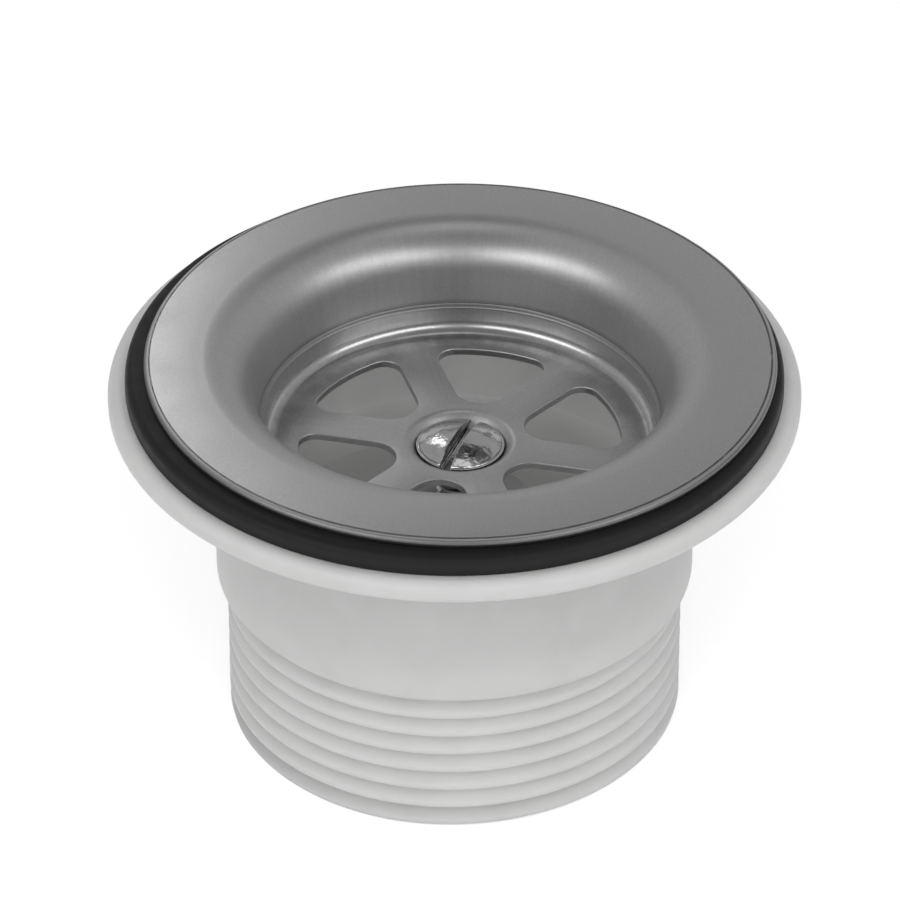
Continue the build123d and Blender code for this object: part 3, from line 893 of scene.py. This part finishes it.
class DRAIN_OT_screw(bpy.types.Operator):
    """Builds the slotted clamp screw, with its thread"""

    bl_idname = "drain.screw"
    bl_label = "Clamp screw"

    segments = 96
    rows_a_pitch = 10
    dome_steps = 12

    def execute(self, context):
        sizes, cup = context.scene.screw_sizes, context.scene.cup_sizes
        finish = bright_steel(context.scene.drain_colours)
        shank = sizes.diameter / 2
        rim = CUP_HIGH.z - cup.depth - cup.dimple_margin + sizes.gap
        plain = rim - HEAD_RADIUS + shank
        mesh = joined("screw", [self.head(sizes, finish, rim, plain), self.shaft(sizes, finish, plain)])
        dressed("clamp_screw", mesh, finish, "screw", "centre_screw")
        return {"FINISHED"}

    def head(self, sizes, finish, rim, plain):
        """The head: a dome, a plain rim and a cone down to the shank, with the slot cut across it."""
        wide = HEAD_RADIUS
        dome_radius = (wide**2 + sizes.rise**2) / (2 * sizes.rise)
        rim_top = rim + sizes.rim
        dome_top = rim_top + sizes.rise
        lean = math.asin(wide / dome_radius)
        angles = [lean * i / self.dome_steps for i in range(self.dome_steps)]
        dome = [(dome_radius * math.sin(a), dome_top - dome_radius * (1 - math.cos(a))) for a in angles]
        corners = [
            (0, rim_top, 0),
            (wide, rim_top, sizes.rim_round),
            (wide, rim, sizes.rim_round),
            (sizes.diameter / 2, plain, 0),
            (0, plain, 0),
        ]
        under = rounded(corners, closed=False)[1:]
        blank = joined("head", [turned(dome + under, self.segments, CUP_AXIS, closed=False)])
        low = (-2 * wide, -sizes.slot / 2, dome_top - sizes.slot_depth)
        high = (2 * wide, sizes.slot / 2, dome_top + sizes.slot_depth)
        values = {"Count": 1, "First": sizes.turn, "Axis": CUP_AXIS, "Material": finish}
        slot = worked(rounded_box(low, high, SMALL_ROUND), ring_of_copies(), values)
        return tool_cut(blank, slot, sizes.slot_round)

    def shaft(self, sizes, finish, plain):
        """The shank with its thread. It starts inside the head's cone."""
        shank, tip = sizes.diameter / 2, SCREW_LOW.z
        start, thread_top = plain + sizes.rim, plain - sizes.neck
        thread = thread_rows(shank, tip, thread_top, sizes.pitch, self.rows_a_pitch)[::-1]
        neck = [(0, start), (shank, start), (shank, plain)]
        threaded = range(len(neck), len(neck) + len(thread))
        rows = [*neck, *thread, (0, tip)]
        blank = turned(rows, self.segments, CUP_AXIS, closed=False, threaded=threaded)
        values = {
            "Radius": shank,
            "Pitch": sizes.pitch,
            "Depth": sizes.depth,
            "Crest": sizes.crest,
            "Flank": sizes.flank,
            "Bottom": tip,
            "Top": thread_top,
            "Bevel": sizes.tip_bevel,
            "Turn": 0.0,
            "Axis": CUP_AXIS,
            "Material": finish,
        }
        return worked(blank, helical_thread(), values)


class DRAIN_OT_nut(bpy.types.Operator):
    """Gives the square nut its brass"""

    bl_idname = "drain.nut"
    bl_label = "Square nut"

    def execute(self, context):
        nut = frame["nodes"]["square_nut"]
        nut.data.materials.clear()
        nut.data.materials.append(plain_brass(context.scene.drain_colours))
        return {"FINISHED"}


class DRAIN_OT_stage(bpy.types.Operator):
    """Sets up the pale floor, the lamps, the room and the camera"""

    bl_idname = "drain.stage"
    bl_label = "Stage"

    # The floor's half width, its glow, and the distances where mirrors stop and start to see the glow.
    floor_reach = 4.0
    floor_glow = 0.55
    glow_reach = (0.3, 0.15)
    # Each patch of the room has an azimuth, an elevation, the cosines of the angles from its middle where it
    # starts and is full, and a strength.
    patches = {
        "dark camera side": (-90.0, 62.0, 0.8, 0.97, 0.5),
        "dark gap behind on the right": (60.0, 59.0, 0.97, 0.985, 0.25),
        "dark gap behind": (90.0, 59.0, 0.97, 0.985, 0.25),
        "pale ceiling": (60.0, 82.0, 0.98, 0.99, 2.2),
    }

    def execute(self, context):
        scene = context.scene
        scene.view_settings.view_transform = "Standard"
        self.floor(scene.drain_colours)
        self.room(scene, scene.drain_colours)
        self.lamps(scene.stage_settings)
        self.camera(scene, scene.stage_settings)
        return {"FINISHED"}

    def floor(self, colours):
        """A wide sheet of pale paper, with a glow that the camera sees, and mirrors near the object."""
        finish = bpy.data.materials.new("pale studio paper")
        finish.use_nodes = True
        tree = finish.node_tree
        tree.nodes.clear()
        ray = add(tree, "ShaderNodeLightPath").outputs
        place = add(tree, "ShaderNodeTexCoord").outputs["Object"]
        away = add(tree, VECTOR, (place,), operation="LENGTH").outputs["Value"]
        near = add(tree, RANGE, (away, *self.glow_reach, 0.0, 1.0))
        mirror = add(tree, MATH, (near, ray["Is Glossy Ray"]), operation="MULTIPLY")
        seen = add(tree, MATH, (ray["Is Camera Ray"], mirror), operation="MAXIMUM")
        seen = add(tree, MATH, (seen, ray["Is Transmission Ray"]), operation="MAXIMUM")
        lift = add(tree, MATH, (seen, self.floor_glow), operation="MULTIPLY")
        paper = add(tree, "ShaderNodeBsdfDiffuse", {"Color": colours.floor[:]})
        glow = add(tree, "ShaderNodeEmission", {"Color": (1.0, 1.0, 1.0, 1.0), "Strength": lift})
        both = add(tree, "ShaderNodeAddShader", (paper, glow))
        add(tree, "ShaderNodeOutputMaterial", {"Surface": both})
        mesh = bpy.data.meshes.new("floor")
        r = self.floor_reach
        mesh.from_pydata([(-r, -r, 0), (r, -r, 0), (r, r, 0), (-r, r, 0)], [], [(0, 1, 2, 3)])
        mesh.materials.append(finish)
        shown("floor", mesh)

    def room(self, scene, colours):
        """The studio round the object: plain grey, with patches that are darker or paler."""
        world = bpy.data.worlds.new("studio")
        world.use_nodes = True
        tree = world.node_tree
        towards = add(tree, "ShaderNodeTexCoord").outputs["Generated"]
        strength = 1.0
        for name, (azimuth, elevation, begin, full, patch) in self.patches.items():
            centre = direction(azimuth, elevation)
            near = add(tree, VECTOR, (towards, centre), operation="DOT_PRODUCT").outputs["Value"]
            fade = (near, begin, full, 1.0, patch)
            share = add(tree, RANGE, fade, interpolation_type="SMOOTHSTEP", label=name)
            strength = add(tree, MATH, (strength, share), operation="MULTIPLY")
        connect(tree, tree.nodes["Background"], {"Color": colours.room[:], "Strength": strength})
        scene.world = world

    def lamps(self, settings):
        """Three softboxes that the steel mirrors, and a lamp that lights the floor and the plastic."""
        middle = (CUP_AXIS, 0.0, CUP_HIGH.z)
        left_rim = (CUP_AXIS - RIM_RADIUS, 0.0, CUP_HIGH.z)
        beside_camera = {"elevation": 30.0, "distance": 0.9, "size": (1.0, 0.32)}
        above_camera = {"azimuth": -90.0, "elevation": 40.0, "distance": 0.9, "size": (0.8, 0.8)}
        behind_rim = {"azimuth": 102.0, "elevation": 37.0, "distance": 0.2, "size": (0.04, 0.055)}
        mirrored = (
            self.softbox("left_softbox", middle, settings.left, azimuth=-134.0, **beside_camera),
            self.softbox("right_softbox", middle, settings.right, azimuth=-46.0, **beside_camera),
            self.softbox("rim_softbox", left_rim, settings.rim, spread=26.0, **behind_rim),
        )
        for lamp in mirrored:
            lamp.visible_diffuse = False
        front = self.softbox("front_softbox", middle, settings.front, **above_camera)
        front.visible_glossy = False

    def softbox(self, name, target, watts, azimuth, elevation, distance, size, spread=180.0):
        """A softbox turned to a target, away from it in a direction, with a beam that may be narrow."""
        lamp = bpy.data.lights.new(name, "AREA")
        lamp.shape = "RECTANGLE"
        lamp.size, lamp.size_y = size
        lamp.energy = watts
        lamp.spread = math.radians(spread)
        aim = direction(azimuth, elevation)
        holder = bpy.data.objects.new(name, lamp)
        holder.location = Vector(target) + aim * distance
        holder.rotation_euler = aim.to_track_quat("Z", "Y").to_euler()
        bpy.context.scene.collection.objects.link(holder)
        return holder

    def camera(self, scene, settings):
        """The camera in front of the object, looking down on it."""
        lens = bpy.data.cameras.new("camera")
        lens.lens = settings.lens
        lens.sensor_width = 36.0
        lens.clip_start = 0.01
        lens.clip_end = 50.0
        holder = bpy.data.objects.new("camera", lens)
        holder.location = settings.camera
        holder.rotation_euler = (math.pi / 2 - settings.pitch, 0.0, 0.0)
        scene.collection.objects.link(holder)
        scene.camera = holder


class DRAIN_PT_panel(bpy.types.Panel):
    """Lists the pieces of the drain, and the stage"""

    bl_idname = "DRAIN_PT_panel"
    bl_label = "Sink drain"
    bl_space_type = "VIEW_3D"
    bl_region_type = "UI"
    bl_category = "Drain"

    def draw(self, context):
        for operator in OPERATORS:
            self.layout.operator(operator.bl_idname)


GROUPS = {
    "tail_sizes": TailSizes,
    "gasket_sizes": GasketSizes,
    "cup_sizes": CupSizes,
    "screw_sizes": ScrewSizes,
    "drain_colours": DrainColours,
    "stage_settings": StageSettings,
}
OPERATORS = (DRAIN_OT_tail, DRAIN_OT_gasket, DRAIN_OT_cup, DRAIN_OT_screw, DRAIN_OT_nut, DRAIN_OT_stage)


def register():
    for name, group in GROUPS.items():
        bpy.utils.register_class(group)
        setattr(bpy.types.Scene, name, bpy.props.PointerProperty(type=group))
    for made in (*OPERATORS, DRAIN_PT_panel):
        bpy.utils.register_class(made)


def unregister():
    for made in reversed((*OPERATORS, DRAIN_PT_panel)):
        bpy.utils.unregister_class(made)
    for name, group in reversed(GROUPS.items()):
        delattr(bpy.types.Scene, name)
        bpy.utils.unregister_class(group)


def main():
    register()
    bpy.ops.drain.tail()
    bpy.ops.drain.gasket()
    bpy.ops.drain.cup()
    bpy.ops.drain.screw()
    bpy.ops.drain.nut()
    bpy.ops.drain.stage()


if __name__ == "__main__":
    main()
